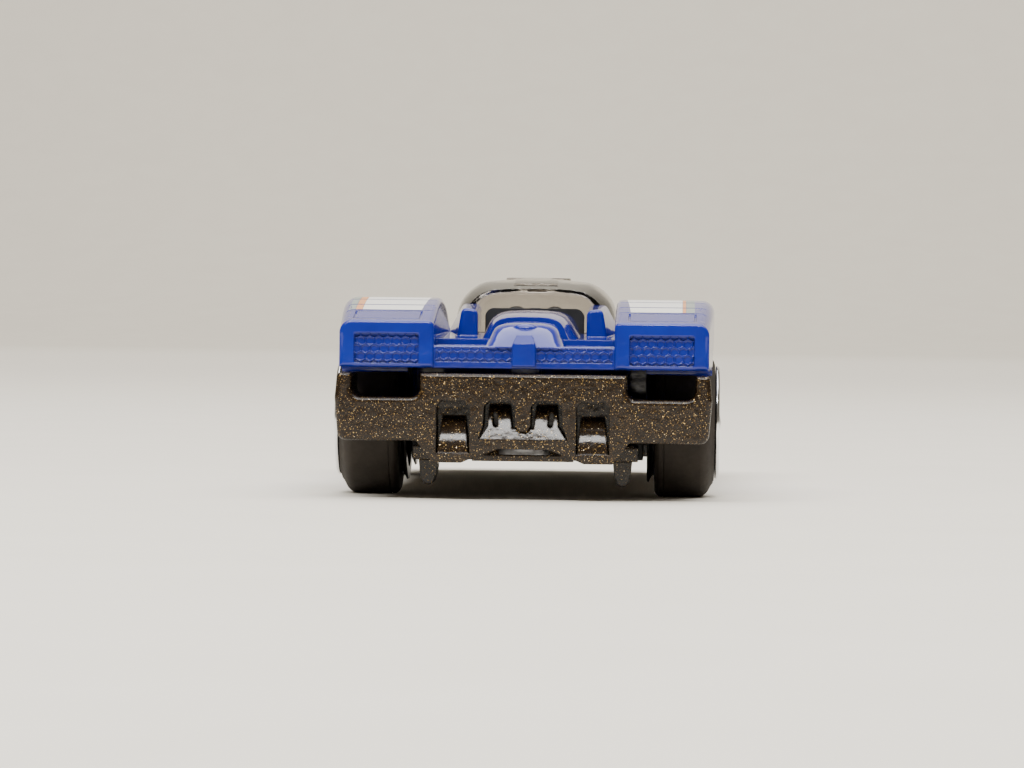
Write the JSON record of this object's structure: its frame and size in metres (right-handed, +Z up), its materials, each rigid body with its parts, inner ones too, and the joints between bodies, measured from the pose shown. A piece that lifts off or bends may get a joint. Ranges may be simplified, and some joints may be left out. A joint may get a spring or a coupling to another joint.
{
  "type": "diecast collector car",
  "caption": "Small diecast collector car, a low closed racing prototype with tall rear pontoons, a smoked canopy, a sparkling bumper and diffuser, and free-rolling rubber-tyred wheels.",
  "frame": {"origin": "on the ground under the middle of the car's overall box", "axes": "+Y towards the nose along the car's length, +X to the car's right, +Z up"},
  "size_m": [0.0338, 0.074, 0.0192],
  "materials": {
    "blue_enamel": "gloss",
    "sparkle_enamel": "metal flake, gloss",
    "smoke_plastic": "gloss, smoked",
    "black_plastic": "matte",
    "wheel_black": "satin",
    "plated_face": "polished",
    "tyre_rubber": "matte",
    "steel_wire": "bright"
  },
  "bodies": {
    "car_body": {"body_shell": "blue_enamel", "chassis_base": "sparkle_enamel", "canopy": "smoke_plastic", "interior_tub": "black_plastic", "rear_axle_clip": "black_plastic", "front_axle_clip": "black_plastic"},
    "rear_axle": {"rear_axle": "steel_wire"},
    "front_axle": {"front_axle": "steel_wire"},
    "rear_left_wheel": {"rear_left_wheel_core": "wheel_black", "rear_left_wheel_face": "plated_face", "rear_left_tyre": "tyre_rubber"},
    "rear_right_wheel": {"rear_right_wheel_core": "wheel_black", "rear_right_wheel_face": "plated_face", "rear_right_tyre": "tyre_rubber"},
    "front_left_wheel": {"front_left_wheel_core": "wheel_black", "front_left_wheel_face": "plated_face", "front_left_tyre": "tyre_rubber"},
    "front_right_wheel": {"front_right_wheel_core": "wheel_black", "front_right_wheel_face": "plated_face", "front_right_tyre": "tyre_rubber"}
  },
  "joints": [
    {"name": "rear_axle_spin", "type": "hinge", "parent": "car_body", "child": "rear_axle", "pos_m": [0, -0.0226, 0.00655], "axis": [-1, 0, 0], "continuous": true},
    {"name": "rear_left_wheel_spin", "type": "hinge", "parent": "rear_axle", "child": "rear_left_wheel", "pos_m": [-0.0136, -0.0226, 0.00655], "axis": [-1, 0, 0], "continuous": true},
    {"name": "rear_right_wheel_spin", "type": "hinge", "parent": "rear_axle", "child": "rear_right_wheel", "pos_m": [0.0136, -0.0226, 0.00655], "axis": [-1, 0, 0], "continuous": true},
    {"name": "front_axle_spin", "type": "hinge", "parent": "car_body", "child": "front_axle", "pos_m": [0, 0.0214, 0.0056], "axis": [-1, 0, 0], "continuous": true},
    {"name": "front_left_wheel_spin", "type": "hinge", "parent": "front_axle", "child": "front_left_wheel", "pos_m": [-0.0144, 0.0214, 0.0056], "axis": [-1, 0, 0], "continuous": true},
    {"name": "front_right_wheel_spin", "type": "hinge", "parent": "front_axle", "child": "front_right_wheel", "pos_m": [0.0144, 0.0214, 0.0056], "axis": [-1, 0, 0], "continuous": true}
  ]
}
